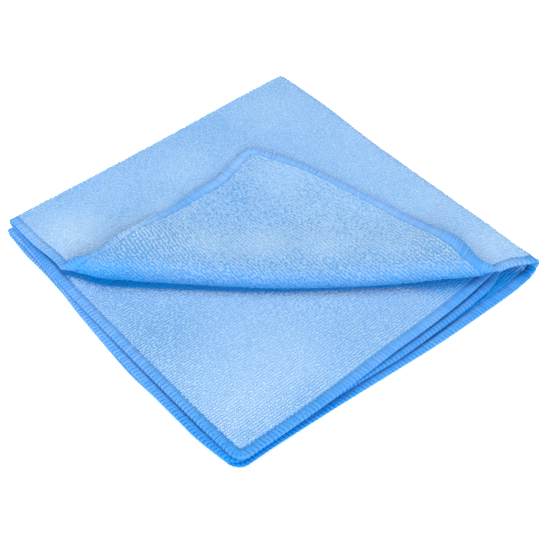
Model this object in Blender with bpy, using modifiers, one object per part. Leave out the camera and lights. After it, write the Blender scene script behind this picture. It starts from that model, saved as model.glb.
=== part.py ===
"""Microfibre cloth with a hem all round, folded in four, its top corner turned back.

Metres, +Z up. The cloth is one sheet. It is cut out flat as a grid whose lines lie close
together where the cloth bends, folded by moving the grid's points, and given its
thickness last. It rests at z = 0 on its lowest layer.

The flat sheet has coordinates u and v from its middle. Its first crease is u = 0 and its
second is v = 0. Folded, it is a square packet: the first crease is the side at -X, the
second the side at +Y, and the four free hems of the layers lie at +X and at -Y.
From the top down the layers are first (u > 0, v < 0), second (u < 0, v < 0),
third (u < 0, v > 0) and lowest (u > 0, v > 0).
"""

import math

import bmesh
import bpy
from mathutils import Vector

# Driving sizes.
CLOTH_SIDE = 0.400
QUARTER = CLOTH_SIDE / 2.0
SHEET_THICKNESS = 0.0021
LAYER_PITCH = 0.0028
CORNER_RADIUS = 0.006
HEM_WIDTH = 0.0045
HEM_THINNESS = 0.82
JUST_INSIDE = 0.0004

# The two creases. The first bends one sheet, the second bends the two layers as a pair.
FIRST_CREASE_RADIUS = LAYER_PITCH / 2.0
SECOND_CREASE_RADIUS = LAYER_PITCH
STEPS_IN_HALF_CREASE = 4
COARSE_STEP = 0.0125
LOWEST_HEIGHT = SHEET_THICKNESS / 2.0
STACK_MIDDLE = LOWEST_HEIGHT + 1.5 * LAYER_PITCH

# Where the turned-back corner is rolled: the distances of the roll's two ends
# from the packet's nearest corner, along the hem at -Y and along the hem at +X.
ROLL_END_ON_LEFT_HEM = 0.1465
ROLL_END_ON_RIGHT_HEM = 0.1740
ROLL_LENGTH = math.hypot(ROLL_END_ON_LEFT_HEM, ROLL_END_ON_RIGHT_HEM)
TO_CORNER_U = ROLL_END_ON_RIGHT_HEM / ROLL_LENGTH
TO_CORNER_V = ROLL_END_ON_LEFT_HEM / ROLL_LENGTH

# The roll, a row for each section from its left end to its right end. Columns:
# place along the roll from opposite the corner, distance of the roll's middle from the
# corner, slack pulled into the roll, pull on the turned-back side alone, radius of the
# roll, height that it is lifted.
ROLL_SECTIONS = (
    (-0.096, 0.1175, 0.0000, 0.0000, 0.0022, 0.0014),
    (-0.084, 0.1149, 0.0000, -0.0120, 0.0033, 0.0015),
    (-0.072, 0.1120, 0.0010, 0.0060, 0.0049, 0.0014),
    (-0.056, 0.1106, 0.0037, 0.0078, 0.0053, 0.0010),
    (-0.040, 0.1094, 0.0060, 0.0042, 0.0053, 0.0008),
    (-0.020, 0.1078, 0.0074, -0.0031, 0.0050, 0.0006),
    (0.000, 0.1064, 0.0080, -0.0030, 0.0047, 0.0004),
    (0.027, 0.1059, 0.0074, 0.0042, 0.0046, 0.0003),
    (0.052, 0.1070, 0.0076, 0.0020, 0.0048, 0.0005),
    (0.077, 0.1085, 0.0075, 0.0026, 0.0049, 0.0010),
    (0.103, 0.1113, 0.0050, 0.0074, 0.0044, 0.0018),
    (0.120, 0.1133, 0.0030, 0.0150, 0.0036, 0.0014),
    (0.132, 0.1172, 0.0000, 0.0060, 0.0028, 0.0010),
)
SLACK_FADE = 0.045
PULL_FADE = 0.020
LIFT_RAMP = 0.034
SETTLE_LENGTH = 0.040
REST_HEIGHT = LAYER_PITCH
FLAP_SKEW = 0.013
FLAP_SPAN = 0.099
LIFT_CLEAR_OF_CREASE = 0.030
ROLL_LINE_FIRST = 0.088
ROLL_LINE_LAST = 0.120
ROLL_LINE_STEP = 0.0017

# How far each hem lies out of square, outwards. Columns: place along the hem from the
# crease that it crosses, outward shift. The hem at +X crosses the second crease and the
# hem at -Y the first one, so negative places are the upper layers for +X, and the
# second and third layers for -Y.
RIGHT_HEM_OF_OUTER_LAYERS = (
    (-0.200, -0.0018),
    (-0.188, -0.0004),
    (-0.170, 0.0000),
    (-0.060, 0.0000),
    (-0.026, -0.0022),
    (-0.014, -0.0002),
    (-0.005, 0.0042),
    (0.005, 0.0055),
    (0.014, 0.0062),
    (0.025, 0.0066),
    (0.050, 0.0066),
    (0.078, 0.0062),
    (0.100, 0.0050),
    (0.140, 0.0026),
    (0.180, 0.0008),
    (0.200, 0.0006),
)
RIGHT_HEM_OF_INNER_LAYERS = (
    (-0.200, 0.0008),
    (-0.180, 0.0012),
    (-0.150, 0.0012),
    (-0.125, 0.0002),
    (-0.100, -0.0009),
    (-0.080, -0.0012),
    (-0.050, -0.0028),
    (-0.031, -0.0050),
    (0.000, -0.0088),
    (0.015, -0.0060),
    (0.032, -0.0008),
    (0.060, 0.0014),
    (0.098, 0.0022),
    (0.115, 0.0012),
    (0.140, -0.0002),
    (0.200, -0.0010),
)
LEFT_HEM_OF_UPPER_LAYERS = (
    (-0.200, 0.0010),
    (-0.168, 0.0023),
    (-0.070, 0.0026),
    (-0.035, 0.0008),
    (0.000, -0.0012),
    (0.025, -0.0012),
    (0.045, -0.0024),
    (0.080, 0.0000),
    (0.170, 0.0000),
    (0.188, -0.0012),
    (0.200, -0.0028),
)
LEFT_HEM_OF_LOWER_LAYERS = (
    (-0.200, 0.0027),
    (-0.172, 0.0062),
    (-0.107, 0.0064),
    (-0.073, 0.0045),
    (-0.040, 0.0014),
    (0.000, 0.0010),
    (0.020, 0.0022),
    (0.036, 0.0020),
    (0.057, 0.0026),
    (0.073, 0.0040),
    (0.107, 0.0060),
    (0.125, 0.0066),
    (0.155, 0.0050),
    (0.172, 0.0052),
    (0.200, 0.0016),
)

# How far the two creased sides lie out of square. Columns: place along the side,
# shift in x of the side at -X, and shift in y of the side at +Y.
LEFT_SIDE_LEAN = (
    (-0.100, 0.0022),
    (0.004, -0.0006),
    (0.066, -0.0031),
    (0.100, -0.0040),
)
FAR_SIDE_LEAN = (
    (-0.100, -0.0014),
    (-0.060, -0.0012),
    (-0.023, -0.0031),
    (0.010, -0.0036),
    (0.084, -0.0040),
    (0.100, -0.0036),
)

# The lower layers are tucked in at the corner between the second crease and the hem at +X:
# how far at the floor, over what length of the crease, and how far into the packet.
TUCK_DEPTH = 0.0045
TUCK_LENGTH = 0.034
TUCK_REACH = 0.034
TUCK_HEIGHT = 0.0112

# Where the upper layers lie looser or closer than elsewhere. Columns: middle of the
# place in x and in y, its spread, and how much further apart the layers lie there.
SWELLS = (
    (-0.098, -0.095, 0.040, 0.06),
    (-0.075, 0.060, 0.050, 0.05),
    (0.020, 0.030, 0.050, -0.06),
    (0.060, -0.060, 0.040, 0.08),
)

PART_NAME = "microfibre_cloth"
CLOTH_COLOUR = (0.33, 0.58, 0.90, 1.0)
CLOTH_ROUGHNESS = 0.9
SAME_PLACE = 0.0003


def remove_objects():
    """Start from an empty scene."""
    for item in list(bpy.data.objects):
        bpy.data.objects.remove(item, do_unlink=True)


def ease(share):
    """Run from 0 to 1 with a soft start and a soft end."""
    share = min(max(share, 0.0), 1.0)
    return share * share * (3.0 - 2.0 * share)


def read_table(rows, place, column):
    """Read a smooth curve through one column of a table, at a place in its first column."""
    if place <= rows[0][0]:
        return rows[0][column]
    if place >= rows[-1][0]:
        return rows[-1][column]
    index = next(i for i in range(1, len(rows)) if place <= rows[i][0])
    before, after = rows[index - 1], rows[index]
    gap = after[0] - before[0]
    share = (place - before[0]) / gap
    start_slope = slope_at(rows, index - 1, column) * gap
    end_slope = slope_at(rows, index, column) * gap
    rise = after[column] - before[column]
    bow = start_slope * (1.0 - share) - end_slope * share - rise * (1.0 - 2.0 * share)
    return before[column] + rise * share + bow * share * (1.0 - share)


def slope_at(rows, index, column):
    """Slope of a table's smooth curve at one of its rows."""
    before = rows[max(index - 1, 0)]
    after = rows[min(index + 1, len(rows) - 1)]
    return (after[column] - before[column]) / (after[0] - before[0])


def line_places(crease_radius):
    """Grid lines on one side of a crease: close in its bend, coarse beyond, one at the hem."""
    bend = crease_radius * math.pi / 2.0
    close = [bend * (i + 1) / STEPS_IN_HALF_CREASE for i in range(STEPS_IN_HALF_CREASE)]
    start = bend + 2.0 * bend / STEPS_IN_HALF_CREASE
    hem = QUARTER - HEM_WIDTH
    count = round((hem - start) / COARSE_STEP)
    coarse = [start + (hem - start) * i / count for i in range(count + 1)]
    return close + coarse


def cut_along(grid, faces, point, normal, clear_outer=False):
    """Cut the flat sheet along one straight line."""
    edges = {edge for face in faces for edge in face.edges}
    verts = {vert for face in faces for vert in face.verts}
    bmesh.ops.bisect_plane(
        grid,
        geom=list(faces) + list(edges) + list(verts),
        plane_co=point,
        plane_no=normal,
        clear_outer=clear_outer,
    )


def cut_grid_lines(grid):
    """Cut the lines beside both creases, the coarse lines and the hem lines."""
    for place in [0.0] + line_places(FIRST_CREASE_RADIUS):
        for side in (-1.0, 1.0):
            cut_along(grid, grid.faces[:], Vector((side * place, 0, 0)), Vector((1, 0, 0)))
    for place in [0.0] + line_places(SECOND_CREASE_RADIUS):
        for side in (-1.0, 1.0):
            cut_along(grid, grid.faces[:], Vector((0, side * place, 0)), Vector((0, 1, 0)))


def cut_round_corners(grid):
    """Trim the four corners of the sheet to a round with three straight cuts each."""
    middle = QUARTER - CORNER_RADIUS
    for side_u in (-1.0, 1.0):
        for side_v in (-1.0, 1.0):
            centre = Vector((side_u * middle, side_v * middle, 0.0))
            for turn in (math.pi / 8.0, math.pi / 4.0, math.pi * 3.0 / 8.0):
                outward = Vector((side_u * math.cos(turn), side_v * math.sin(turn), 0.0))
                point = centre + outward * CORNER_RADIUS
                cut_along(grid, grid.faces[:], point, outward, clear_outer=True)


def cut_roll_lines(grid):
    """Cut lines along the roll, in the top layer only."""
    outward = Vector((TO_CORNER_U, -TO_CORNER_V, 0.0))
    corner = Vector((QUARTER, -QUARTER, 0.0))
    count = round((ROLL_LINE_LAST - ROLL_LINE_FIRST) / ROLL_LINE_STEP)
    for step in range(count + 1):
        distance = ROLL_LINE_FIRST + (ROLL_LINE_LAST - ROLL_LINE_FIRST) * step / count
        top_layer = []
        for face in grid.faces:
            middle = face.calc_center_median()
            if middle.x > 0.0 and middle.y < 0.0:
                top_layer.append(face)
        cut_along(grid, top_layer, corner - outward * distance, outward)


def cut_flat_sheet():
    """The sheet before folding, as a flat grid from -QUARTER to QUARTER."""
    grid = bmesh.new()
    bmesh.ops.create_grid(grid, x_segments=1, y_segments=1, size=QUARTER)
    cut_grid_lines(grid)
    cut_round_corners(grid)
    cut_roll_lines(grid)
    bmesh.ops.remove_doubles(grid, verts=grid.verts[:], dist=SAME_PLACE)
    return grid


def draw_hems_in(u, v):
    """Distances from both creases, with the hems drawn out of square."""
    right_hem = RIGHT_HEM_OF_OUTER_LAYERS if u > 0.0 else RIGHT_HEM_OF_INNER_LAYERS
    left_hem = LEFT_HEM_OF_UPPER_LAYERS if v < 0.0 else LEFT_HEM_OF_LOWER_LAYERS
    across, down = abs(u), abs(v)
    across_shift = read_table(right_hem, v, 1) * (across / QUARTER) ** 2
    down_shift = read_table(left_hem, u, 1) * (down / QUARTER) ** 2
    return across + across_shift, down + down_shift


def turn_corner_back(across, down):
    """Roll the top layer's corner back over the layer: new distances and added height."""
    reach = (QUARTER - across) * TO_CORNER_U + (QUARTER - down) * TO_CORNER_V
    along = (across - QUARTER) * TO_CORNER_V - (down - QUARTER) * TO_CORNER_U
    middle, slack, pull, radius, lift = (
        read_table(ROLL_SECTIONS, along, column) for column in range(1, 6)
    )
    lift *= ease(down / LIFT_CLEAR_OF_CREASE)
    before_roll = reach - middle - slack
    past_roll = -before_roll - math.pi * radius
    if before_roll >= 0.0:
        new_reach = reach - slack * ease(1.0 - before_roll / SLACK_FADE)
        height = lift * ease(1.0 - before_roll / LIFT_RAMP)
    elif past_roll <= 0.0:
        angle = -before_roll / radius
        new_reach = middle - radius * math.sin(angle)
        height = lift + radius * (1.0 - math.cos(angle))
    else:
        new_reach = middle + past_roll + slack * ease(past_roll / SLACK_FADE)
        new_reach += pull * ease(past_roll / PULL_FADE)
        height = REST_HEIGHT
        height += (lift + 2.0 * radius - REST_HEIGHT) * ease(1.0 - past_roll / SETTLE_LENGTH)
        along += FLAP_SKEW * math.sin(math.pi * min(past_roll / FLAP_SPAN, 1.0))
    new_across = QUARTER - new_reach * TO_CORNER_U + along * TO_CORNER_V
    new_down = QUARTER - new_reach * TO_CORNER_V - along * TO_CORNER_U
    return new_across, new_down, height


def bend(distance, side, radius, offset):
    """Bend round a crease: distance from the creased side and height from its middle."""
    arc = radius * math.pi / 2.0
    if distance < arc:
        angle = distance / radius
        level = side * (radius + offset) * math.sin(angle)
        return radius - (radius + offset) * math.cos(angle), level
    return radius + distance - arc, side * (radius + offset)


def lean(x, y, height):
    """Shift the creased sides of the packet out of square, and tuck its low corner in."""
    left_share = 0.5 - x / QUARTER
    far_share = 0.5 + y / QUARTER
    left_shift = read_table(LEFT_SIDE_LEAN, y, 1) * left_share
    far_shift = read_table(FAR_SIDE_LEAN, x, 1) * far_share
    tuck = TUCK_DEPTH * ease(1.0 - height / TUCK_HEIGHT)
    tuck *= ease(1.0 - (QUARTER / 2.0 - x) / TUCK_LENGTH)
    tuck *= ease(1.0 - (QUARTER / 2.0 - y) / TUCK_REACH)
    return x + left_shift, y + far_shift - tuck


def loosen(x, y, height):
    """Spread the layers a little further apart where the packet lies loose."""
    spread = 1.0
    for middle_x, middle_y, width, amount in SWELLS:
        far = ((x - middle_x) ** 2 + (y - middle_y) ** 2) / width ** 2
        spread += amount * math.exp(-far)
    return LOWEST_HEIGHT + (height - LOWEST_HEIGHT) * spread


def fold_point(u, v):
    """Place in the folded packet of a point of the flat sheet."""
    across, down = draw_hems_in(u, v)
    raised = 0.0
    if u > 0.0 and v < 0.0:
        across, down, raised = turn_corner_back(across, down)
    side = 1.0 if u > 0.0 else -1.0
    from_left, level = bend(across, side, FIRST_CREASE_RADIUS, 0.0)
    upper = 1.0 if v < 0.0 else -1.0
    from_far, height = bend(down, upper, SECOND_CREASE_RADIUS, level)
    height += STACK_MIDDLE + raised
    x, y = lean(from_left - QUARTER / 2.0, QUARTER / 2.0 - from_far, height)
    return Vector((x, y, loosen(x, y, height)))


def hem_weights(grid):
    """Share of full thickness at each point: less along the hem than in the pile."""
    inner = QUARTER - HEM_WIDTH + JUST_INSIDE
    return [HEM_THINNESS if max(abs(v.co.x), abs(v.co.y)) > inner else 1.0 for v in grid.verts]


def make_material():
    """Light blue microfibre pile."""
    material = bpy.data.materials.new("blue_microfibre")
    material.use_nodes = True
    shader = material.node_tree.nodes["Principled BSDF"]
    shader.inputs["Base Color"].default_value = CLOTH_COLOUR
    shader.inputs["Roughness"].default_value = CLOTH_ROUGHNESS
    shader.inputs["Metallic"].default_value = 0.0
    return material


def fold_sheet(grid):
    """Fold the flat grid, then centre the packet over the origin.

    The creased sides, at -X and +Y, reach half a thickness beyond the sheet's middle.
    """
    for vert in grid.verts:
        vert.co = fold_point(vert.co.x, vert.co.y)
    across = [vert.co.x for vert in grid.verts]
    along = [vert.co.y for vert in grid.verts]
    middle_x = (min(across) - SHEET_THICKNESS / 2.0 + max(across)) / 2.0
    middle_y = (min(along) + max(along) + SHEET_THICKNESS / 2.0) / 2.0
    bmesh.ops.translate(grid, verts=grid.verts[:], vec=Vector((-middle_x, -middle_y, 0.0)))


def make_cloth(collection):
    """The folded cloth as one solid."""
    grid = cut_flat_sheet()
    weights = hem_weights(grid)
    fold_sheet(grid)
    bmesh.ops.recalc_face_normals(grid, faces=grid.faces[:])
    mesh = bpy.data.meshes.new("cloth")
    grid.to_mesh(mesh)
    grid.free()
    mesh.materials.append(make_material())
    cloth = bpy.data.objects.new("cloth", mesh)
    collection.objects.link(cloth)
    full = cloth.vertex_groups.new(name="full_thickness")
    for index, weight in enumerate(weights):
        full.add([index], weight, "REPLACE")
    thicken = cloth.modifiers.new("thickness", "SOLIDIFY")
    thicken.thickness = SHEET_THICKNESS
    thicken.offset = 0.0
    thicken.vertex_group = full.name
    return cloth


def main():
    """Build the part in a collection of its own."""
    remove_objects()
    collection = bpy.data.collections.new(PART_NAME)
    bpy.context.scene.collection.children.link(collection)
    make_cloth(collection)


main()
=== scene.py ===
"""Looks of a microfibre cloth that lies folded in four with its top corner turned back.

The cloth is cut out flat, u and v from its middle, and folded as the CAD solid is: the
first crease is u = 0, the second is v = 0. Everything on it, the pile and the thread of
the hem, is laid out on the flat cloth and goes through the same folds. The third flat
coordinate is the height above the middle of the sheet, on its face side.
"""

import math

import bmesh
import bpy
import numpy as np
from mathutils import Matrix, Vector

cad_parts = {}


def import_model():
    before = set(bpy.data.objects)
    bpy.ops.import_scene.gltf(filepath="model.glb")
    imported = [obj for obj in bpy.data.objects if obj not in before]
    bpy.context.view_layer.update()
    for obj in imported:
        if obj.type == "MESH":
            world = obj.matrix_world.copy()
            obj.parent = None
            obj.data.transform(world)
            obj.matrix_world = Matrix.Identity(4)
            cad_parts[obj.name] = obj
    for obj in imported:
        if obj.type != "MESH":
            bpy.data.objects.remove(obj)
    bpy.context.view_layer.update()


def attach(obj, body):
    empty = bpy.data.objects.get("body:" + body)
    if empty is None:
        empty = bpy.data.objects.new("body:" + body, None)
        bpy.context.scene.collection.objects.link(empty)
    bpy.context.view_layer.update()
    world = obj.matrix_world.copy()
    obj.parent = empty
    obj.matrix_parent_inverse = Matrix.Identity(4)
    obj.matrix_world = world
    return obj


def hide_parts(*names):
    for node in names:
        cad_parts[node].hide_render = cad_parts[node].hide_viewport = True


# The cloth, in metres.
CLOTH_SIDE = 0.400
QUARTER = CLOTH_SIDE / 2.0
SHEET_THICKNESS = 0.0021
LAYER_PITCH = 0.0028
CORNER_RADIUS = 0.006
HEM_WIDTH = 0.0045
GROUND_THICKNESS = 0.0012

# The grid that it is cut on: lines beside each crease, in steps of its bend, cells of one
# width beyond them, and the last lines as distances from the edge. Each corner is trimmed
# in a few cuts, and the grid is finer between two distances from the turned-back corner.
STEPS_IN_HALF_TURN = 8
LINES_BESIDE_CREASE = 6
CELL_WIDTH = 0.0023
HEM_LINES = (0.0028, 0.0012, 0.0)
CORNER_CUTS = 8
FINE_GRID_START = 0.092
FINE_GRID_END = 0.126

# The two creases.
FIRST_CREASE_RADIUS = LAYER_PITCH / 2.0
SECOND_CREASE_RADIUS = LAYER_PITCH
LOWEST_HEIGHT = SHEET_THICKNESS / 2.0
STACK_MIDDLE = LOWEST_HEIGHT + 1.5 * LAYER_PITCH

# The roll of the turned-back corner: where its ends are on the two hems.
ROLL_END_ON_LEFT_HEM = 0.1465
ROLL_END_ON_RIGHT_HEM = 0.1740
ROLL_LENGTH = math.hypot(ROLL_END_ON_LEFT_HEM, ROLL_END_ON_RIGHT_HEM)
TO_CORNER_U = ROLL_END_ON_RIGHT_HEM / ROLL_LENGTH
TO_CORNER_V = ROLL_END_ON_LEFT_HEM / ROLL_LENGTH

# Columns: place along the roll from opposite the corner, distance of the roll's middle
# from the corner, slack pulled into the roll, pull on the turned-back side alone, radius
# of the roll, height that it is lifted.
ROLL_SECTIONS = (
    (-0.096, 0.1175, 0.0000, 0.0000, 0.0022, 0.0014),
    (-0.084, 0.1149, 0.0000, -0.0120, 0.0033, 0.0015),
    (-0.072, 0.1120, 0.0010, 0.0060, 0.0049, 0.0014),
    (-0.056, 0.1106, 0.0037, 0.0078, 0.0053, 0.0010),
    (-0.040, 0.1094, 0.0060, 0.0042, 0.0053, 0.0008),
    (-0.020, 0.1078, 0.0074, -0.0031, 0.0050, 0.0006),
    (0.000, 0.1064, 0.0080, -0.0030, 0.0047, 0.0004),
    (0.027, 0.1059, 0.0074, 0.0042, 0.0046, 0.0003),
    (0.052, 0.1070, 0.0076, 0.0020, 0.0048, 0.0005),
    (0.077, 0.1085, 0.0075, 0.0026, 0.0049, 0.0010),
    (0.103, 0.1113, 0.0050, 0.0074, 0.0044, 0.0018),
    (0.120, 0.1133, 0.0030, 0.0150, 0.0036, 0.0014),
    (0.132, 0.1172, 0.0000, 0.0060, 0.0028, 0.0010),
)

# How far the slack, the pull and the lift reach from the roll, and how the turned-back corner
# lies beyond it: settled on the layer, and drawn a little askew.
SLACK_FADE = 0.045
PULL_FADE = 0.020
LIFT_RAMP = 0.034
SETTLE_LENGTH = 0.040
REST_HEIGHT = LAYER_PITCH
FLAP_SKEW = 0.013
FLAP_SPAN = 0.099
LIFT_CLEAR_OF_CREASE = 0.030

# How far each hem lies out of square. Columns: place along the hem, outward shift.
RIGHT_HEM_OF_OUTER_LAYERS = (
    (-0.200, -0.0018),
    (-0.188, -0.0004),
    (-0.170, 0.0000),
    (-0.060, 0.0000),
    (-0.026, -0.0022),
    (-0.014, -0.0002),
    (-0.005, 0.0042),
    (0.005, 0.0055),
    (0.014, 0.0062),
    (0.025, 0.0066),
    (0.050, 0.0066),
    (0.078, 0.0062),
    (0.100, 0.0050),
    (0.140, 0.0026),
    (0.180, 0.0008),
    (0.200, 0.0006),
)
RIGHT_HEM_OF_INNER_LAYERS = (
    (-0.200, 0.0008),
    (-0.180, 0.0012),
    (-0.150, 0.0012),
    (-0.125, 0.0002),
    (-0.100, -0.0009),
    (-0.080, -0.0012),
    (-0.050, -0.0028),
    (-0.031, -0.0050),
    (0.000, -0.0088),
    (0.015, -0.0060),
    (0.032, -0.0008),
    (0.060, 0.0014),
    (0.098, 0.0022),
    (0.115, 0.0012),
    (0.140, -0.0002),
    (0.200, -0.0010),
)
LEFT_HEM_OF_UPPER_LAYERS = (
    (-0.200, 0.0010),
    (-0.168, 0.0023),
    (-0.070, 0.0026),
    (-0.035, 0.0008),
    (0.000, -0.0012),
    (0.025, -0.0012),
    (0.045, -0.0024),
    (0.080, 0.0000),
    (0.170, 0.0000),
    (0.188, -0.0012),
    (0.200, -0.0028),
)
LEFT_HEM_OF_LOWER_LAYERS = (
    (-0.200, 0.0027),
    (-0.172, 0.0062),
    (-0.107, 0.0064),
    (-0.073, 0.0045),
    (-0.040, 0.0014),
    (0.000, 0.0010),
    (0.020, 0.0022),
    (0.036, 0.0020),
    (0.057, 0.0026),
    (0.073, 0.0040),
    (0.107, 0.0060),
    (0.125, 0.0066),
    (0.155, 0.0050),
    (0.172, 0.0052),
    (0.200, 0.0016),
)

# How far the two creased sides lie out of square. Columns: place along the side, shift.
LEFT_SIDE_LEAN = (
    (-0.100, 0.0022),
    (0.004, -0.0006),
    (0.066, -0.0031),
    (0.100, -0.0040),
)
FAR_SIDE_LEAN = (
    (-0.100, -0.0014),
    (-0.060, -0.0012),
    (-0.023, -0.0031),
    (0.010, -0.0036),
    (0.084, -0.0040),
    (0.100, -0.0036),
)

# The lower layers are tucked in at the corner between the second crease and the hem at +X:
# how far at the floor, over what length of the crease, and how far into the packet.
TUCK_DEPTH = 0.0045
TUCK_LENGTH = 0.034
TUCK_REACH = 0.034
TUCK_HEIGHT = 0.0112

# Where the upper layers lie looser or closer. Columns: middle in x and y, spread, share.
SWELLS = (
    (-0.098, -0.095, 0.040, 0.06),
    (-0.075, 0.060, 0.050, 0.05),
    (0.020, 0.030, 0.050, -0.06),
    (0.060, -0.060, 0.040, 0.08),
)

# Step over the flat cloth that shows which way it faces once folded, and how many lines each
# way find the folded packet's outline.
NORMAL_STEP = 0.0002
OUTLINE_LINES = 801

# The pile: rows of loops, each a short arch with its ends in the ground.
ROW_PITCH = 0.0015
LOOP_PITCH = 0.00115
LOOP_HALF_LENGTH = 0.00082
LOOP_RADIUS = 0.00034
LOOP_HALF_WIDTH = 0.00046
LOOP_RISE = 0.00022
LOOP_LEVEL_LENGTH = LOOP_HALF_LENGTH * 0.8
LOOP_FOOT_DEPTH = LOOP_RISE * 1.6
PILE_FROM_HEM = 0.0004

# How the loops differ: shift across and along the row, turn, size, height and lean.
SHIFT_ACROSS = ROW_PITCH * 0.13
SHIFT_ALONG = LOOP_PITCH * 0.22
LOOP_TURN = 0.42
LOOP_SIZES = (0.82, 1.22)
LOOP_HEIGHTS = (0.70, 1.30)
LOOP_LEAN = 0.25
PILE_SEED = 11

# Where the pile is grown. Across the roll it starts and ends at distances from the corner.
CREASE_PILE_WIDTH = 0.006
TOP_PILE_START = 0.100
FLAP_PILE_END = 0.122
SECOND_LAYER_PILE_END = 0.124
ROLL_MIDDLE = 0.104
UNDER_FLAP_MARGIN = 0.012
RIGHT_CORNER_START = 0.150
RIGHT_CORNER_WIDTH = 0.075

# Tones: 0 is the deepest blue and 1 the palest. Some loops are deeper specks. Painted shade takes
# tones towards its own tone, which is set below 0, because the noise in the materials lifts it.
PILE_TONE = 0.61
PILE_TONE_SPREAD = 0.13
SPECK_SHARE = 0.22
SPECK_DEPTH = 0.16
GROUND_TONE = 0.36
FLAP_GROUND_TONE = 0.31
PAINTED_SHADE_TONE = -0.09

# Painted shade: the pile and ground are taken towards the tone of painted shade in the hollow
# under the roll, down the front of the roll, and between the layers beside the second crease.
HOLLOW_SET_BACK = 0.0022
HOLLOW_LENGTH = 0.0021
END_HOLLOW_LENGTH = 0.016
END_HOLLOW_START = 0.078
END_HOLLOW_RAMP = 0.034
ROLL_START = 0.105
ROLL_FRONT_LENGTH = 0.034
ROLL_UNDERSIDE_LENGTH = 0.0165
LEFT_UNDERSIDE_LENGTH = 0.0055
LEFT_UNDERSIDE_START = 0.030
LEFT_UNDERSIDE_RAMP = 0.034
FRONT_SHARE = 0.28
ROLL_MOUTH = 0.0020
BETWEEN_SHADE_DEPTH = 0.96
BETWEEN_REACH = 0.040
BETWEEN_FADE = 0.015
BETWEEN_WIDTH = 0.050
BETWEEN_GROUND_START = 0.0045
BETWEEN_GROUND_FADE = 0.0040
CREASE_CLEAR = 0.010
GROUND_SHADE_ON_ROLL = 0.85

# Painted light and shade on the hem's thread: deeper patches paint shade where the thread lies
# under the layer above, at the ends of the roll and at the corners, and paler patches paint
# light.
# Columns: middle in u and v, spread, change of tone. Then painted light and shade on the pile and
# ground, with the middle in x and y: paler patches paint highlights, such as over the swell near
# the left corner and across the turned-back corner above the roll, and deeper ones paint shade,
# such as beside the hems.
HEM_PAINTED_LIGHT_AND_SHADE = (
    (0.015, -0.200, 0.015, 0.14),
    (0.064, -0.200, 0.018, -0.28),
    (0.094, -0.200, 0.016, 0.26),
    (0.124, -0.200, 0.014, -0.10),
    (0.182, -0.200, 0.014, 0.12),
    (0.200, -0.042, 0.018, -0.28),
    (0.200, -0.020, 0.010, 0.10),
    (0.200, 0.000, 0.008, -0.40),
    (0.200, 0.080, 0.045, 0.12),
    (-0.200, 0.080, 0.045, 0.06),
    (0.200, -0.120, 0.030, 0.05),
    (-0.020, -0.200, 0.030, -0.35),
    (-0.200, -0.030, 0.030, -0.30),
    (-0.150, -0.200, 0.030, -0.10),
    (-0.200, -0.200, 0.030, -0.36),
    (-0.200, -0.150, 0.030, -0.26),
    (-0.200, -0.100, 0.020, -0.08),
    (-0.200, 0.200, 0.060, -0.30),
    (0.200, 0.200, 0.070, -0.34),
    (-0.200, 0.200, 0.040, -0.20),
)
PILE_PAINTED_LIGHT_AND_SHADE = (
    (-0.067, -0.078, 0.020, 0.38),
    (-0.087, -0.040, 0.016, 0.08),
    (-0.070, 0.000, 0.018, 0.14),
    (-0.077, 0.076, 0.026, 0.12),
    (-0.015, 0.091, 0.030, 0.12),
    (0.040, 0.090, 0.026, 0.14),
    (0.085, 0.089, 0.020, 0.28),
    (-0.041, 0.009, 0.016, -0.08),
    (-0.030, 0.035, 0.016, 0.12),
    (0.020, 0.045, 0.030, 0.04),
    (0.008, -0.007, 0.012, 0.20),
    (-0.010, -0.030, 0.010, 0.16),
    (0.030, 0.015, 0.012, 0.18),
    (0.055, 0.040, 0.012, 0.10),
    (0.045, -0.050, 0.030, 0.05),
    (0.077, -0.073, 0.026, 0.22),
    (0.073, -0.040, 0.016, 0.09),
    (-0.026, -0.074, 0.012, -0.10),
    (0.015, -0.080, 0.020, -0.08),
    (-0.053, -0.046, 0.008, 0.16),
    (-0.053, -0.028, 0.009, 0.16),
    (0.092, -0.084, 0.008, -0.12),
    (0.092, -0.068, 0.008, -0.12),
    (0.092, -0.052, 0.008, -0.10),
)

# The thread of the hem: wraps in pairs over the edge, drawn narrower and standing out more
# at the edge itself. Each has two straight stretches on both sides of the cloth and a turn.
WRAP_PITCH = 0.00112
PAIR_SHIFT = 0.00005
EDGE_PAIR_SHIFT = 0.00018
THREAD_WIDTH = 0.00066
THREAD_RADIUS = 0.00020
THREAD_HEIGHT = 0.00070
THREAD_SIDES = 5
STRAIGHT_STRETCHES = (HEM_WIDTH * 0.50, HEM_WIDTH * 0.42)
TURN_FROM_EDGE = HEM_WIDTH * 0.08
TURN_STEPS = 4
EDGE_NARROWING = 0.78
EDGE_BULGE = 1.32
EDGE_SHARE = 0.2

# How the wraps differ: length, width, slant and its spread, height.
WRAP_LENGTHS = (0.92, 1.06)
WRAP_WIDTHS = (0.85, 1.15)
WRAP_SLANT = 0.12
SLANT_SPREAD = 0.03
WRAP_HEIGHTS = (0.96, 1.05)
HEM_SEED = 61

# The seam: a line of stitches just inside the wraps, on both sides of the cloth.
SEAM_PITCH = 0.0023
SEAM_FROM_EDGE = 0.0047
SEAM_LENGTH = 0.0015
SEAM_LENGTHS = (0.85, 1.15)
SEAM_HEIGHT = THREAD_HEIGHT + THREAD_RADIUS * 0.6
SEAM_SEED = 71
SEAM_TONE = 0.6

# Tone of the hem's thread, and how much painted shade deepens it on the layers below, which see
# less light.
HEM_TONE_LOW = 0.64
HEM_TONE_HIGH = 0.82
SECOND_LAYER_DEPTH = 0.10
LEFT_LOW_DEPTH = 0.12
RIGHT_LOW_DEPTH = 0.44

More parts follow.
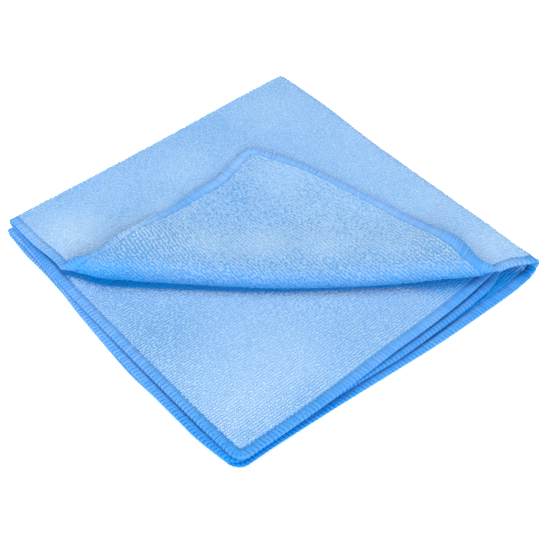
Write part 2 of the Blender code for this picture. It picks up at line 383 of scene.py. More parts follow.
# Colour of each finish by tone.
PILE_COLOURS = (
    (0.0, (0.0, 0.38, 0.87)),
    (0.35, (0.25, 0.49, 0.82)),
    (0.6, (0.41, 0.615, 0.85)),
    (1.0, (0.59, 0.745, 0.90)),
)
HEM_COLOURS = (
    (0.0, (0.0, 0.27, 0.74)),
    (0.5, (0.12, 0.385, 0.81)),
    (1.0, (0.38, 0.575, 0.85)),
)
GROUND_COLOURS = (
    (0.0, (0.0, 0.31, 0.77)),
    (0.33, (0.17, 0.40, 0.70)),
    (0.42, (0.27, 0.50, 0.79)),
    (0.8, (0.52, 0.67, 0.84)),
)
SHEEN_COLOUR = (0.55, 0.78, 1.0, 1.0)

# The knitted ground has about one rib under every two rows of loops.
RIB_SCALE = 42.44
RIB_DEPTH = 0.0003

# The studio. The camera's place and lens were fitted to the packet's four corners.
CAMERA_TARGET = Vector((0.016975, -0.007225, 0.0))
CAMERA_AZIMUTH = 49.8
CAMERA_ELEVATION = 46.0
CAMERA_DISTANCE = 0.569
LENS_IN_PIXELS = 1090.0
FRAME_IN_PIXELS = 550.0
SENSOR_WIDTH = 36.0
NEAREST_SEEN = 0.01
LAMP_DISTANCE = 1.6
FLOOR_HALF_SIDE = 12.0


def ease(share):
    """Run from 0 to 1 with a soft start and a soft end."""
    share = np.clip(share, 0.0, 1.0)
    return share * share * (3.0 - 2.0 * share)


def read_table(rows, places, column):
    """Read a smooth curve through one column of a table, at places in its first column."""
    table = np.array(rows)
    start, value = table[:, 0], table[:, column]
    last = len(rows) - 1
    places = np.clip(places, start[0], start[-1])
    index = np.clip(np.searchsorted(start, places), 1, last)
    low = np.maximum(np.arange(last + 1) - 1, 0)
    high = np.minimum(np.arange(last + 1) + 1, last)
    slope = (value[high] - value[low]) / (start[high] - start[low])
    gap = start[index] - start[index - 1]
    share = (places - start[index - 1]) / gap
    rise = value[index] - value[index - 1]
    bow = slope[index - 1] * gap * (1.0 - share) - slope[index] * gap * share
    bow -= rise * (1.0 - 2.0 * share)
    return value[index - 1] + rise * share + bow * share * (1.0 - share)


def draw_hems_in(u, v):
    """Distances from both creases, with the hems drawn out of square."""
    across, down = np.abs(u), np.abs(v)
    right = np.where(
        u > 0.0,
        read_table(RIGHT_HEM_OF_OUTER_LAYERS, v, 1),
        read_table(RIGHT_HEM_OF_INNER_LAYERS, v, 1),
    )
    left = np.where(
        v < 0.0,
        read_table(LEFT_HEM_OF_UPPER_LAYERS, u, 1),
        read_table(LEFT_HEM_OF_LOWER_LAYERS, u, 1),
    )
    return across + right * (across / QUARTER) ** 2, down + left * (down / QUARTER) ** 2


def reach_from_corner(u, v):
    """How far a place is from its layer's free corner, square to the roll."""
    return (QUARTER - np.abs(u)) * TO_CORNER_U + (QUARTER - np.abs(v)) * TO_CORNER_V


def way_along_roll(u, v):
    """How far a place is along the roll, from opposite the corner."""
    return (np.abs(u) - QUARTER) * TO_CORNER_V - (np.abs(v) - QUARTER) * TO_CORNER_U


def turn_corner_back(across, down):
    """Roll the top layer's corner back over the layer: new distances and added height."""
    reach = reach_from_corner(across, down)
    along = way_along_roll(across, down)
    middle, slack, pull, radius, lift = (
        read_table(ROLL_SECTIONS, along, column) for column in range(1, 6)
    )
    lift = lift * ease(down / LIFT_CLEAR_OF_CREASE)
    before = reach - middle - slack
    past = -before - math.pi * radius
    angle = np.clip(-before / radius, 0.0, math.pi)

    lying = before >= 0.0
    rolling = (before < 0.0) & (past <= 0.0)
    reach_lying = reach - slack * ease(1.0 - before / SLACK_FADE)
    height_lying = lift * ease(1.0 - before / LIFT_RAMP)
    reach_rolling = middle - radius * np.sin(angle)
    height_rolling = lift + radius * (1.0 - np.cos(angle))
    reach_back = middle + past + slack * ease(past / SLACK_FADE) + pull * ease(past / PULL_FADE)
    settled = ease(1.0 - past / SETTLE_LENGTH)
    height_back = REST_HEIGHT + (lift + 2.0 * radius - REST_HEIGHT) * settled
    skew = FLAP_SKEW * np.sin(math.pi * np.clip(past / FLAP_SPAN, 0.0, 1.0))

    new_reach = np.where(lying, reach_lying, np.where(rolling, reach_rolling, reach_back))
    height = np.where(lying, height_lying, np.where(rolling, height_rolling, height_back))
    along = along + np.where(lying | rolling, 0.0, skew)
    new_across = QUARTER - new_reach * TO_CORNER_U + along * TO_CORNER_V
    new_down = QUARTER - new_reach * TO_CORNER_V - along * TO_CORNER_U
    return new_across, new_down, height


def bend(distance, side, radius, offset):
    """Bend round a crease: distance from the creased side and height from its middle."""
    arc = radius * math.pi / 2.0
    angle = np.minimum(distance / radius, math.pi / 2.0)
    out = radius - (radius + offset) * np.cos(angle) + np.maximum(distance - arc, 0.0)
    return out, side * (radius + offset) * np.sin(angle)


def fold(u, v):
    """Places in the folded packet of points of the flat cloth's middle."""
    across, down = draw_hems_in(u, v)
    turned = (u > 0.0) & (v < 0.0)
    back_across, back_down, raised = turn_corner_back(across, down)
    across = np.where(turned, back_across, across)
    down = np.where(turned, back_down, down)
    raised = np.where(turned, raised, 0.0)
    from_left, level = bend(across, np.where(u > 0.0, 1.0, -1.0), FIRST_CREASE_RADIUS, 0.0)
    upper = np.where(v < 0.0, 1.0, -1.0)
    from_far, height = bend(down, upper, SECOND_CREASE_RADIUS, level)
    x = from_left - QUARTER / 2.0
    y = QUARTER / 2.0 - from_far
    height = STACK_MIDDLE + height + raised
    left_shift = read_table(LEFT_SIDE_LEAN, y, 1) * (0.5 - x / QUARTER)
    far_shift = read_table(FAR_SIDE_LEAN, x, 1) * (0.5 + y / QUARTER)
    tuck = TUCK_DEPTH * ease(1.0 - height / TUCK_HEIGHT)
    tuck = tuck * ease(1.0 - (QUARTER / 2.0 - x) / TUCK_LENGTH)
    tuck = tuck * ease(1.0 - (QUARTER / 2.0 - y) / TUCK_REACH)
    x, y = x + left_shift, y + far_shift - tuck
    spread = np.ones_like(x)
    for middle_x, middle_y, width, amount in SWELLS:
        spread += amount * np.exp(-((x - middle_x) ** 2 + (y - middle_y) ** 2) / width**2)
    z = LOWEST_HEIGHT + (height - LOWEST_HEIGHT) * spread
    return np.stack([x, y, z], axis=1)


def packet_middle():
    """Middle of the folded packet's outline, which the CAD solid has over its origin."""
    places = np.linspace(-QUARTER, QUARTER, OUTLINE_LINES)
    u, v = np.meshgrid(places, places)
    folded = fold(u.reshape(-1), v.reshape(-1))
    half = SHEET_THICKNESS / 2.0
    low, high = folded.min(axis=0), folded.max(axis=0)
    return np.array([(low[0] - half + high[0]) / 2.0, (low[1] + high[1] + half) / 2.0, 0.0])


def fold_all(points):
    """Fold points that have a height above the middle of the flat cloth."""
    u, v, rise = points[:, 0], points[:, 1], points[:, 2]
    along_u = fold(u + NORMAL_STEP, v) - fold(u - NORMAL_STEP, v)
    along_v = fold(u, v + NORMAL_STEP) - fold(u, v - NORMAL_STEP)
    out = np.cross(along_u, along_v)
    out /= np.linalg.norm(out, axis=1)[:, None]
    folded = fold(u, v) + out * rise[:, None] - PACKET_MIDDLE
    folded[:, 2] = np.maximum(folded[:, 2], 0.0)
    return folded


PACKET_MIDDLE = packet_middle()


def add_to_scene(name, data):
    """A new object in the scene that shows a mesh, a lamp or a camera."""
    item = bpy.data.objects.new(name, data)
    bpy.context.scene.collection.objects.link(item)
    return item


def add_piece(name, mesh, material):
    """Put a finished mesh into the scene, smooth, with its material."""
    mesh.materials.append(material)
    mesh.polygons.foreach_set("use_smooth", np.ones(len(mesh.polygons), dtype=bool))
    return add_to_scene(name, mesh)


def store_tones(mesh, tones):
    """Keep a tone at each point of a mesh, for its material."""
    layer = mesh.attributes.new("tone", "FLOAT", "POINT")
    layer.data.foreach_set("value", tones.reshape(-1).astype(np.float32))


def each_once(items):
    """The items in their order without repeats, so that each run gives the same mesh."""
    return list(dict.fromkeys(items))


def from_lowest(corners):
    """The corners of a face in their order, from the one with the lowest number."""
    start = corners.index(min(corners))
    return corners[start:] + corners[:start]


def shape_arrays(shape):
    """Points and faces of a small shape, in the same order each run. The shape is freed."""
    bmesh.ops.triangulate(shape, faces=shape.faces[:])
    points = np.array([vert.co[:] for vert in shape.verts])
    faces = sorted(from_lowest([vert.index for vert in face.verts]) for face in shape.faces)
    shape.free()
    return points, np.array(faces)


def joined_copies(name, points, faces, material, tones):
    """One mesh of many copies of a small shape: points is (copies, points, 3)."""
    copies, count = points.shape[:2]
    corners = faces[None, :, :] + (np.arange(copies) * count)[:, None, None]
    corners = corners.reshape(-1)
    mesh = bpy.data.meshes.new(name)
    mesh.vertices.add(copies * count)
    mesh.vertices.foreach_set("co", points.reshape(-1))
    mesh.loops.add(len(corners))
    mesh.loops.foreach_set("vertex_index", corners.astype(np.int32))
    mesh.polygons.add(len(corners) // 3)
    mesh.polygons.foreach_set("loop_start", np.arange(0, len(corners), 3, dtype=np.int32))
    mesh.update(calc_edges=True)
    store_tones(mesh, tones)
    return add_piece(name, mesh, material)


# ---------------------------------------------------------------- the sheet


def line_places(crease_radius):
    """Grid lines on one side of a crease: close in its bend, wider beyond, more in the hem."""
    step = crease_radius * math.pi / STEPS_IN_HALF_TURN
    close = [step * i for i in range(1, LINES_BESIDE_CREASE + 1)]
    hem = QUARTER - HEM_WIDTH
    count = round((hem - close[-1]) / CELL_WIDTH)
    wide = [close[-1] + (hem - close[-1]) * i / count for i in range(1, count + 1)]
    return close + wide + [QUARTER - from_edge for from_edge in HEM_LINES]


def both_sides(places):
    """The lines on both sides of a crease, in order."""
    return sorted([-place for place in places] + [0.0] + places)


def cut_flat_cloth():
    """The flat cloth as a fine grid with round corners."""
    across = both_sides(line_places(FIRST_CREASE_RADIUS))
    down = both_sides(line_places(SECOND_CREASE_RADIUS))
    columns, rows = len(across) - 1, len(down) - 1
    grid = bmesh.new()
    bmesh.ops.create_grid(grid, x_segments=columns, y_segments=rows, size=0.5)
    for vert in grid.verts:
        column = round((vert.co.x + 0.5) * columns)
        row = round((vert.co.y + 0.5) * rows)
        vert.co = Vector((across[column], down[row], 0.0))
    middle = QUARTER - CORNER_RADIUS
    for side_u in (-1.0, 1.0):
        for side_v in (-1.0, 1.0):
            round_corner(grid, Vector((side_u * middle, side_v * middle, 0.0)))
    refine_roll(grid)
    return grid


def round_corner(grid, centre):
    """Trim one corner of the flat cloth to a round."""
    near = [
        face
        for face in grid.faces
        if (face.calc_center_median() - centre).length < CORNER_RADIUS * 2.0
    ]
    for step in range(1, CORNER_CUTS):
        turn = math.pi / 2.0 * step / CORNER_CUTS
        x = math.copysign(math.cos(turn), centre.x)
        y = math.copysign(math.sin(turn), centre.y)
        outward = Vector((x, y, 0.0))
        edges = each_once(edge for face in near for edge in face.edges)
        verts = each_once(vert for face in near for vert in face.verts)
        made = bmesh.ops.bisect_plane(
            grid,
            geom=near + edges + verts,
            plane_co=centre + outward * CORNER_RADIUS,
            plane_no=outward,
            clear_outer=True,
        )
        near += [item for item in made["geom"] if isinstance(item, bmesh.types.BMFace)]
        near = each_once(face for face in near if face.is_valid)


def refine_roll(grid):
    """Halve the grid of the top layer where it rolls."""
    edges = []
    for edge in grid.edges:
        middle = (edge.verts[0].co + edge.verts[1].co) / 2.0
        if middle.x <= 0.0 or middle.y >= 0.0:
            continue
        if FINE_GRID_START < reach_from_corner(middle.x, middle.y) < FINE_GRID_END:
            edges.append(edge)
    bmesh.ops.subdivide_edges(grid, edges=edges, cuts=1, use_grid_fill=True)


def ground_tones(u, v, folded):
    """Tone of the ground: deeper on the turned-back corner, with painted light and shade patches,
    and painted shade in the hollow under the roll and between the layers.
    """
    on_flap = (u > 0.0) & (v < 0.0) & (reach_from_corner(u, v) < ROLL_START)
    shade = np.where(on_flap, FLAP_GROUND_TONE, GROUND_TONE)
    # painted highlights and painted shade from the patches, then painted shade in the hollows
    shade = shade + change_of_tone(PILE_PAINTED_LIGHT_AND_SHADE, folded)
    between = painted_shade_between_layers(u, v, BETWEEN_GROUND_START, BETWEEN_GROUND_FADE)
    return paint_shade(shade, np.maximum(GROUND_SHADE_ON_ROLL * painted_roll_shade(u, v), between))


def make_ground(material, hem_material):
    """The knitted ground of the cloth, folded and thickened."""
    grid = cut_flat_cloth()
    flat = np.array([vert.co[:] for vert in grid.verts])
    layer = grid.loops.layers.uv.new("flat_cloth")
    for face in grid.faces:
        middle = face.calc_center_median()
        in_hem = max(abs(middle.x), abs(middle.y)) > QUARTER - HEM_WIDTH
        face.material_index = 1 if in_hem else 0
        for corner in face.loops:
            place = corner.vert.co
            corner[layer].uv = (place.x / CLOTH_SIDE + 0.5, place.y / CLOTH_SIDE + 0.5)
    folded = fold_all(flat)
    for vert, place in zip(grid.verts, folded):
        vert.co = place
    mesh = bpy.data.meshes.new("cloth_sheet")
    grid.to_mesh(mesh)
    grid.free()
    store_tones(mesh, ground_tones(flat[:, 0], flat[:, 1], folded))
    piece = add_piece("cloth_sheet", mesh, material)
    mesh.materials.append(hem_material)
    thicken = piece.modifiers.new("thickness", "SOLIDIFY")
    thicken.thickness = GROUND_THICKNESS
    thicken.offset = 0.0
    return piece


# ---------------------------------------------------------------- the pile


def loop_shape():
    """One loop of pile: a short arch along v, both ends in the ground."""
    shape = bmesh.new()
    bmesh.ops.create_cone(
        shape,
        segments=4,
        radius1=LOOP_RADIUS,
        radius2=LOOP_RADIUS,
        depth=LOOP_LEVEL_LENGTH,
        cap_ends=True,
        cap_tris=True,
    )
    for vert in shape.verts:
        place = vert.co.copy()
        if math.hypot(place.x, place.y) < LOOP_RADIUS / 2.0:
            place.z = math.copysign(LOOP_HALF_LENGTH, place.z)
            place.x = -LOOP_FOOT_DEPTH
        wide = place.y * LOOP_HALF_WIDTH / LOOP_RADIUS
        vert.co = Vector((wide, place.z, place.x + LOOP_RISE))
    shape.normal_update()
    bmesh.ops.recalc_face_normals(shape, faces=shape.faces[:])
    return shape_arrays(shape)


def loop_places(grows):
    """Flat places of the loops, in staggered rows, where the pile grows."""
    rows = np.arange(-QUARTER, QUARTER, ROW_PITCH)
    steps = np.arange(-QUARTER, QUARTER, LOOP_PITCH)
    u, v = np.meshgrid(rows, steps, indexing="ij")
    v = v + (np.arange(len(rows)) % 2)[:, None] * LOOP_PITCH * 0.5
    u, v = u.reshape(-1), v.reshape(-1)
    inside = np.maximum(np.abs(u), np.abs(v)) < QUARTER - HEM_WIDTH - PILE_FROM_HEM
    wanted = inside & grows(u, v)
    return u[wanted], v[wanted]


def paint_shade(shade, share):
    """Paint shade: take tones towards the tone of painted shade."""
    return shade * (1.0 - share) + PAINTED_SHADE_TONE * share


def make_pile(material, seed, name, grows, side=1.0, contrast=1.0, bare=0.0, wide=1.0, long=1.0):
    """One piece of pile: loops on one side of the cloth, 1 its face and -1 its back.

    The contrast scales how far the tones differ, bare is the share of loops that are left
    out, and wide and long scale each loop.
    """
    rng = np.random.default_rng(seed)
    points, faces = loop_shape()
    u, v = loop_places(grows)
    grown = rng.uniform(0.0, 1.0, len(u)) >= bare
    u, v = u[grown], v[grown]
    count = len(u)
    u = u + rng.normal(0.0, SHIFT_ACROSS, count)
    v = v + rng.normal(0.0, SHIFT_ALONG, count)
    turn = rng.normal(0.0, LOOP_TURN, count)
    size = rng.uniform(*LOOP_SIZES, count)
    height = rng.uniform(*LOOP_HEIGHTS, count)
    lean = rng.normal(0.0, LOOP_LEAN, count)
    x = points[None, :, 0] * size[:, None] * wide
    y = points[None, :, 1] * size[:, None] * long
    z = points[None, :, 2] * height[:, None]
    x = x + lean[:, None] * np.maximum(z, 0.0)
    out_u = u[:, None] + x * np.cos(turn)[:, None] - y * np.sin(turn)[:, None]
    out_v = v[:, None] + x * np.sin(turn)[:, None] + y * np.cos(turn)[:, None]
    rise = GROUND_THICKNESS / 2.0 + z
    flat = np.stack([out_u, out_v, side * rise], axis=2).reshape(-1, 3)
    folded = fold_all(flat).reshape(count, -1, 3)
    shade = PILE_TONE + contrast * PILE_TONE_SPREAD * rng.uniform(-1.0, 1.0, count)
    shade -= contrast * SPECK_DEPTH * (rng.uniform(0.0, 1.0, count) < SPECK_SHARE)
    # painted highlights and painted shade from the patches
    shade += change_of_tone(PILE_PAINTED_LIGHT_AND_SHADE, folded.mean(axis=1))
    # painted shade on the back: under and down the roll, and between the layers beside the second
    # crease
    if side < 0.0:
        faces = faces[:, ::-1]
        between = painted_shade_between_layers(u, v, -BETWEEN_REACH, BETWEEN_FADE)
        shade = paint_shade(shade, np.maximum(painted_roll_shade(u, v), between))
    tones = np.repeat(shade[:, None], points.shape[0], axis=1)
    return joined_copies(name, folded, faces, material, tones)


def change_of_tone(rows, places):
    """Change of tone at places, from a table of soft round patches."""
    change = np.zeros(len(places))
    for middle_x, middle_y, spread, amount in rows:
        far = ((places[:, 0] - middle_x) ** 2 + (places[:, 1] - middle_y) ** 2) / spread**2
        change += amount * np.exp(-far)
    return change


def painted_roll_shade(u, v):
    """How much painted shade a place gets, 0 to 1: in the hollow under the roll and low on the
    roll.
    """
    reach = reach_from_corner(u, v)
    along = way_along_roll(u, v)
    middle, slack, radius = (read_table(ROLL_SECTIONS, along, column) for column in (1, 2, 4))
    before_front = middle - radius + HOLLOW_SET_BACK - reach
    second_layer = ease((-u - CREASE_CLEAR) / CREASE_CLEAR) * (v < 0.0)
    at_right = ease((along - END_HOLLOW_START) / END_HOLLOW_RAMP)
    length = HOLLOW_LENGTH + END_HOLLOW_LENGTH * at_right
    under_roll = ease(1.0 - before_front / length) * second_layer
    round_roll = middle + slack - reach
    on_roll = FRONT_SHARE * ease(1.0 - round_roll / ROLL_FRONT_LENGTH)
    at_left = ease((-along - LEFT_UNDERSIDE_START) / LEFT_UNDERSIDE_RAMP)
    underside = ROLL_UNDERSIDE_LENGTH + LEFT_UNDERSIDE_LENGTH * at_left
    on_roll += (1.0 - FRONT_SHARE) * ease(1.0 - round_roll / underside)
    on_roll *= ease(1.0 + round_roll / ROLL_MOUTH) * ((u > 0.0) & (v < 0.0))
    return np.maximum(under_roll, on_roll)


def painted_shade_between_layers(u, v, start, fade):
    """How much painted shade a place gets between the layers beside the second crease, past a
    start in v.
    """
    from_hem = ease((np.abs(u) - QUARTER + BETWEEN_WIDTH) / BETWEEN_FADE)
    return BETWEEN_SHADE_DEPTH * ease((v - start) / fade) * from_hem


def under_flap(u, v):
    """True well inside the outline of the turned-back corner, which lies over the layer."""
    shift = 2.0 * (reach_from_corner(u, v) - ROLL_MIDDLE)
    mirror_u = np.abs(u) + shift * TO_CORNER_U
    mirror_v = np.abs(v) + shift * TO_CORNER_V
    return np.maximum(mirror_u, mirror_v) < QUARTER - UNDER_FLAP_MARGIN


def on_top(u, v):
    """The top layer's face, from the roll to both creases, where the corner leaves it open."""
    behind_roll = reach_from_corner(u, v) > TOP_PILE_START
    between_creases = (u >= CREASE_PILE_WIDTH) & (v <= -CREASE_PILE_WIDTH)
    return between_creases & behind_roll & ~under_flap(u, v)


def on_creases(u, v):
    """A strip of the face over each crease."""
    second_crease = (np.abs(v) < CREASE_PILE_WIDTH) & (u > 0.0)
    return (np.abs(u) < CREASE_PILE_WIDTH) | second_crease


def on_flap(u, v):
    """The back of the corner that turns up, and of the roll."""
    return (u > 0.0) & (v < 0.0) & (reach_from_corner(u, v) < FLAP_PILE_END)


def on_second_layer(u, v):
    """The triangle of the second layer that the turned-back corner leaves open."""
    return (u < 0.0) & (v < 0.0) & (reach_from_corner(u, v) < SECOND_LAYER_PILE_END)


def at_right_corner(u, v):
    """Between the layers at the right corner, where they gape."""
    upper = (v < 0.0) & (reach_from_corner(u, v) >= FLAP_PILE_END)
    lower = (v >= 0.0) & (v < RIGHT_CORNER_WIDTH)
    return (u > RIGHT_CORNER_START) & (upper | lower)


def make_all_pile(material):
    """The pile wherever it shows, looser and longer on the turned-back corner."""
    kinds = (
        {"name": "pile_top", "grows": on_top},
        {"name": "pile_creases", "grows": on_creases},
        {
            "name": "pile_flap",
            "grows": on_flap,
            "side": -1.0,
            "contrast": 0.8,
            "bare": 0.06,
            "wide": 1.15,
            "long": 1.3,
        },
        {
            "name": "pile_second_layer",
            "grows": on_second_layer,
            "side": -1.0,
            "contrast": 0.8,
            "bare": 0.02,
            "wide": 1.1,
            "long": 1.1,
        },
        {"name": "pile_right_corner", "grows": at_right_corner, "side": -1.0},
    )
    return [
        make_pile(material, PILE_SEED + index, **kind) for index, kind in enumerate(kinds)
    ]


# ---------------------------------------------------------------- the hem


def edge_places(pitch):
    """Points along the edge of the flat cloth: place, way along it and way inwards."""
    straight = 2.0 * (QUARTER - CORNER_RADIUS)
    quarter_turn = CORNER_RADIUS * math.pi / 2.0
    side = straight + quarter_turn
    count = round(4.0 * side / pitch)
    rows = []
    for index in range(count):
        length = 4.0 * side * index / count
        quarter, rest = int(length // side), length % side
        facing = math.pi / 2.0 * quarter
        if rest < straight:
            local = (QUARTER, rest - straight / 2.0)
            turn = facing
        else:
            bent = (rest - straight) / CORNER_RADIUS
            middle = QUARTER - CORNER_RADIUS
            local = (
                middle + CORNER_RADIUS * math.cos(bent),
                middle + CORNER_RADIUS * math.sin(bent),
            )
            turn = facing + bent
        u = local[0] * math.cos(facing) - local[1] * math.sin(facing)
        v = local[0] * math.sin(facing) + local[1] * math.cos(facing)
        rows.append((u, v, -math.sin(turn), math.cos(turn), -math.cos(turn), -math.sin(turn)))
    return np.array(rows)


def slide_ring(shape, ring, amount):
    """Draw a ring of edges out along y: the new ring."""
    made = bmesh.ops.extrude_edge_only(shape, edges=ring)["geom"]
    verts = [item for item in made if isinstance(item, bmesh.types.BMVert)]
    bmesh.ops.translate(shape, verts=verts, vec=Vector((0.0, amount, 0.0)))
    fresh = set(verts)
    return [
        item
        for item in made
        if isinstance(item, bmesh.types.BMEdge) and set(item.verts) <= fresh
    ]


def turn_ring(shape, ring, centre):
    """Turn a ring of edges half round the edge of the cloth: the new ring."""
    verts = each_once(vert for edge in ring for vert in edge.verts)
    made = bmesh.ops.spin(
        shape,
        geom=verts + ring,
        cent=centre,
        axis=Vector((1.0, 0.0, 0.0)),
        angle=math.pi,
        steps=TURN_STEPS,
        use_merge=False,
        use_duplicate=False,
    )
    return [item for item in made["geom_last"] if isinstance(item, bmesh.types.BMEdge)]


def stitch_shape():
    """One wrap of thread over the edge: x along the edge, y inwards, z up."""
    shape = bmesh.new()
    made = bmesh.ops.create_circle(
        shape, cap_ends=False, segments=THREAD_SIDES, radius=THREAD_RADIUS
    )
    for vert in made["verts"]:
        wide = vert.co.x * THREAD_WIDTH / THREAD_RADIUS
        vert.co = Vector((wide, HEM_WIDTH, THREAD_HEIGHT + vert.co.y))
    ring = shape.edges[:]
    for length in STRAIGHT_STRETCHES:
        ring = slide_ring(shape, ring, -length)
    ring = turn_ring(shape, ring, Vector((0.0, TURN_FROM_EDGE, 0.0)))
    for length in reversed(STRAIGHT_STRETCHES):
        ring = slide_ring(shape, ring, length)
    bmesh.ops.holes_fill(shape, edges=[edge for edge in shape.edges if edge.is_boundary])
    shape.normal_update()
    bmesh.ops.recalc_face_normals(shape, faces=shape.faces[:])
    for vert in shape.verts:
        if vert.co.y < HEM_WIDTH * EDGE_SHARE:
            vert.co.x *= EDGE_NARROWING
            vert.co.z *= EDGE_BULGE
    return shape_arrays(shape)


def hem_tones(edge, rng, points_each):
    """Tone of each stitch along the edge, at all its points, with painted light and shade."""
    u, v = edge[:, 0], edge[:, 1]
    tone = rng.uniform(HEM_TONE_LOW, HEM_TONE_HIGH, len(edge))
    on_right = np.abs(u) > QUARTER - CORNER_RADIUS
    # painted shade on the hems of the lower layers, deeper at the right
    tone -= np.where(on_right, RIGHT_LOW_DEPTH, LEFT_LOW_DEPTH) * (v > 0.0)
    # painted shade on the second layer's hem
    tone -= SECOND_LAYER_DEPTH * ((u < 0.0) & (v < 0.0))
    # painted light and shade patches on the hem
    tone += change_of_tone(HEM_PAINTED_LIGHT_AND_SHADE, edge)
    return np.repeat(np.maximum(tone, 0.0)[:, None], points_each, axis=1)


def lay_along_edge(edge, x, y, z):
    """Folded copies of a stitch, one at each place on the edge: x along it, y inwards, z up."""
    u = edge[:, 0:1] + x * edge[:, 2:3] + y * edge[:, 4:5]
    v = edge[:, 1:2] + x * edge[:, 3:4] + y * edge[:, 5:6]
    flat = np.stack([u, v, np.broadcast_to(z, u.shape)], axis=2)
    return fold_all(flat.reshape(-1, 3)).reshape(len(edge), -1, 3)


def seam_shape():
    """One short stitch of the seam: x along the edge, z up."""
    shape = bmesh.new()
    bmesh.ops.create_icosphere(shape, subdivisions=1, radius=1.0)
    half = Vector((SEAM_LENGTH / 2.0, THREAD_RADIUS, THREAD_RADIUS))
    bmesh.ops.scale(shape, verts=shape.verts[:], vec=half)
    return shape_arrays(shape)


def make_seam(material):
    """Needle stitches between the pile and the wraps, on both sides of the cloth."""
    points, faces = seam_shape()
    rng = np.random.default_rng(SEAM_SEED)
    edge = edge_places(SEAM_PITCH)
    x = points[None, :, 0] * rng.uniform(*SEAM_LENGTHS, len(edge))[:, None]
    y = points[None, :, 1] + SEAM_FROM_EDGE
    sides = [
        lay_along_edge(edge, x, y, points[None, :, 2] + side * SEAM_HEIGHT)
        for side in (1.0, -1.0)
    ]
    tones = hem_tones(edge, rng, len(points)) * SEAM_TONE
    both_tones = np.concatenate([tones, tones])
    return joined_copies("hem_seam", np.concatenate(sides), faces, material, both_tones)


def make_hem(material):
    """Overlocked thread all round, in wraps over the edge."""
    points, faces = stitch_shape()
    rng = np.random.default_rng(HEM_SEED)
    edge = edge_places(WRAP_PITCH)
    count = len(edge)
    pair = np.where(np.arange(count) % 2 == 0, 1.0, -1.0)
    shift = np.where(points[:, 1] < HEM_WIDTH * EDGE_SHARE, EDGE_PAIR_SHIFT, PAIR_SHIFT)
    length = rng.uniform(*WRAP_LENGTHS, count)
    width = rng.uniform(*WRAP_WIDTHS, count)
    slant = WRAP_SLANT + rng.normal(0.0, SLANT_SPREAD, count)
    height = rng.uniform(*WRAP_HEIGHTS, count)
    x = points[None, :, 0] * width[:, None] + points[None, :, 1] * slant[:, None]
    x = x + pair[:, None] * shift[None, :]
    y = points[None, :, 1] * length[:, None]
    z = points[None, :, 2] * height[:, None]
    tones = hem_tones(edge, rng, len(points))
    wraps = lay_along_edge(edge, x, y, z)
    return joined_copies("hem_thread", wraps, faces, material, tones)


# ---------------------------------------------------------------- materials


def new_material(name):
    """A material with its shader and node tree."""
    material = bpy.data.materials.new(name)
    material.use_nodes = True
    tree = material.node_tree
    return material, tree, tree.nodes["Principled BSDF"]


def add_node(tree, kind, **values):
    """A node with its settings."""
    node = tree.nodes.new(kind)
    for key, value in values.items():
        setattr(node, key, value)
    return node


def set_inputs(node, values):
    """Set plain values on a node's sockets."""
    for name, value in values.items():
        node.inputs[name].default_value = value


def uneven_tone(tree, place, scale, detail, share):
    """The tone kept in the mesh, which carries painted light and shade, with a share of noise
    mixed in.
    """
    tone = add_node(tree, "ShaderNodeAttribute", attribute_name="tone")
    noise = add_node(tree, "ShaderNodeTexNoise")
    set_inputs(noise, {"Scale": scale, "Detail": detail})
    tree.links.new(place, noise.inputs["Vector"])
    mix = add_node(tree, "ShaderNodeMix", data_type="FLOAT")
    set_inputs(mix, {"Factor": share})
    tree.links.new(tone.outputs["Fac"], mix.inputs["A"])
    tree.links.new(noise.outputs["Fac"], mix.inputs["B"])
    return mix.outputs["Result"]


def colour_by_tone(tree, source, stops):
    """The colour that a ramp of stops gives to a tone."""
    ramp = add_node(tree, "ShaderNodeValToRGB")
    elements = ramp.color_ramp.elements
    while len(elements) < len(stops):
        elements.new(0.5)
    for element, (place, colour) in zip(elements, stops):
        element.position = place
        element.color = (*colour, 1.0)
    tree.links.new(source, ramp.inputs["Fac"])
    return ramp.outputs["Color"]


def thread_material(name, stops, roughness, patch_scale, patch_share):
    """Thread or pile: each loop has its own tone, and broad patches shift it a little."""
    material, tree, shader = new_material(name)
    place = add_node(tree, "ShaderNodeTexCoord").outputs["Object"]
    tone = uneven_tone(tree, place, scale=patch_scale, detail=3.0, share=patch_share)
    tree.links.new(colour_by_tone(tree, tone, stops), shader.inputs["Base Color"])
    set_inputs(
        shader,
        {
            "Roughness": roughness,
            "Specular IOR Level": 0.05,
            "Sheen Weight": 0.03,
            "Sheen Roughness": 0.5,
            "Sheen Tint": SHEEN_COLOUR,
        },
    )
    return material


def ground_material():
    """Knitted ground under the pile: fine ribs along v, a deeper blue."""
    material, tree, shader = new_material("knitted_ground")
    flat = add_node(tree, "ShaderNodeUVMap", uv_map="flat_cloth").outputs["UV"]
    tone = uneven_tone(tree, flat, scale=300.0, detail=4.0, share=0.15)
    tree.links.new(colour_by_tone(tree, tone, GROUND_COLOURS), shader.inputs["Base Color"])
    ribs = add_node(tree, "ShaderNodeTexWave", wave_type="BANDS", bands_direction="X")
    set_inputs(ribs, {"Scale": RIB_SCALE, "Distortion": 1.0})
    tree.links.new(flat, ribs.inputs["Vector"])
    relief = add_node(tree, "ShaderNodeBump")
    set_inputs(relief, {"Strength": 0.5, "Distance": RIB_DEPTH})
    tree.links.new(ribs.outputs["Fac"], relief.inputs["Height"])
    tree.links.new(relief.outputs["Normal"], shader.inputs["Normal"])
    set_inputs(shader, {"Roughness": 0.9, "Specular IOR Level": 0.1})
    return material


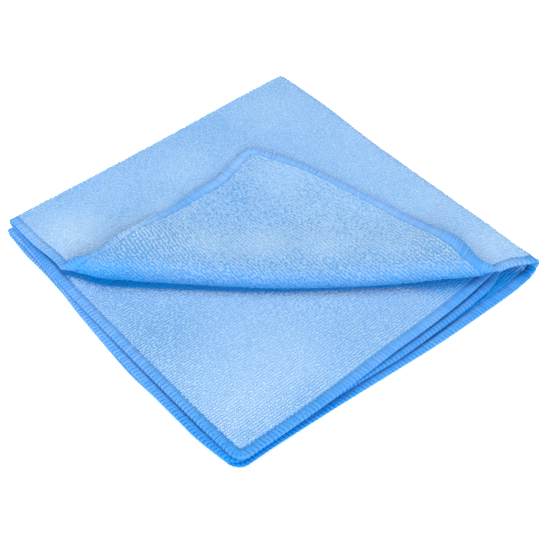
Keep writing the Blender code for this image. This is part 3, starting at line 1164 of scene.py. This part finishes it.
def floor_material():
    """Plain pale studio floor."""
    material, _, shader = new_material("studio_floor")
    set_inputs(
        shader,
        {
            "Base Color": (0.97, 0.97, 0.975, 1.0),
            "Roughness": 0.8,
            "Specular IOR Level": 0.1,
            "Emission Color": (1.0, 1.0, 1.0, 1.0),
            "Emission Strength": 0.32,
        },
    )
    return material


# ---------------------------------------------------------------- the studio


def make_floor():
    """A wide pale floor under the cloth."""
    shape = bmesh.new()
    bmesh.ops.create_grid(shape, x_segments=1, y_segments=1, size=FLOOR_HALF_SIDE)
    mesh = bpy.data.meshes.new("studio_floor")
    shape.to_mesh(mesh)
    shape.free()
    floor = add_piece("studio_floor", mesh, floor_material())


def direction(azimuth, elevation):
    """The way from the cloth to something seen at an azimuth and an elevation."""
    turn, rise = math.radians(azimuth), math.radians(elevation)
    level = math.cos(rise)
    return Vector((math.sin(turn) * level, -math.cos(turn) * level, math.sin(rise)))


def aim(item, place, target):
    """Put something in place, turned to look at its target."""
    item.location = place
    item.rotation_euler = (target - place).to_track_quat("-Z", "Y").to_euler()


def make_camera():
    """The photo's viewing angle."""
    data = bpy.data.cameras.new("camera")
    data.lens = LENS_IN_PIXELS / FRAME_IN_PIXELS * SENSOR_WIDTH
    data.sensor_width = SENSOR_WIDTH
    data.clip_start = NEAREST_SEEN
    camera = add_to_scene("camera", data)
    away = direction(CAMERA_AZIMUTH, CAMERA_ELEVATION) * CAMERA_DISTANCE
    aim(camera, CAMERA_TARGET + away, CAMERA_TARGET)
    bpy.context.scene.camera = camera


def add_lamp(name, azimuth, elevation, size, power, colour):
    """A large soft lamp that faces the cloth."""
    data = bpy.data.lights.new(name, "AREA")
    data.shape = "DISK"
    data.size = size
    data.energy = power
    data.color = colour
    lamp = add_to_scene(name, data)
    aim(lamp, direction(azimuth, elevation) * LAMP_DISTANCE, Vector((0.0, 0.0, 0.0)))


def make_studio():
    """Floor, camera, lamps and a pale surround."""
    make_floor()
    make_camera()
    add_lamp(
        "key_light", azimuth=-70.0, elevation=77.0, size=1.2, power=15.8, colour=(1.0, 1.0, 1.0)
    )
    add_lamp(
        "front_fill", azimuth=56.0, elevation=28.0, size=1.0, power=15.5, colour=(0.84, 0.93, 1.0)
    )
    world = bpy.data.worlds.new("pale_surround")
    world.use_nodes = True
    backdrop = world.node_tree.nodes["Background"]
    set_inputs(backdrop, {"Color": (0.95, 0.98, 1.0, 1.0), "Strength": 0.50})
    scene = bpy.context.scene
    scene.world = world
    scene.view_settings.view_transform = "Standard"
    scene.view_settings.look = "None"


def main():
    """Dress the CAD cloth and set up the studio."""
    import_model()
    pile_material = thread_material(
        "looped_pile", PILE_COLOURS, roughness=0.9, patch_scale=28.0, patch_share=0.20
    )
    hem_material = thread_material(
        "hem_thread", HEM_COLOURS, roughness=0.8, patch_scale=30.0, patch_share=0.12
    )
    sheet = make_ground(ground_material(), hem_material)
    pile = make_all_pile(pile_material)
    hem = [make_hem(hem_material), make_seam(hem_material)]
    for piece in [sheet] + hem + pile:
        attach(piece, "root")
    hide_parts("cloth")
    make_studio()


main()
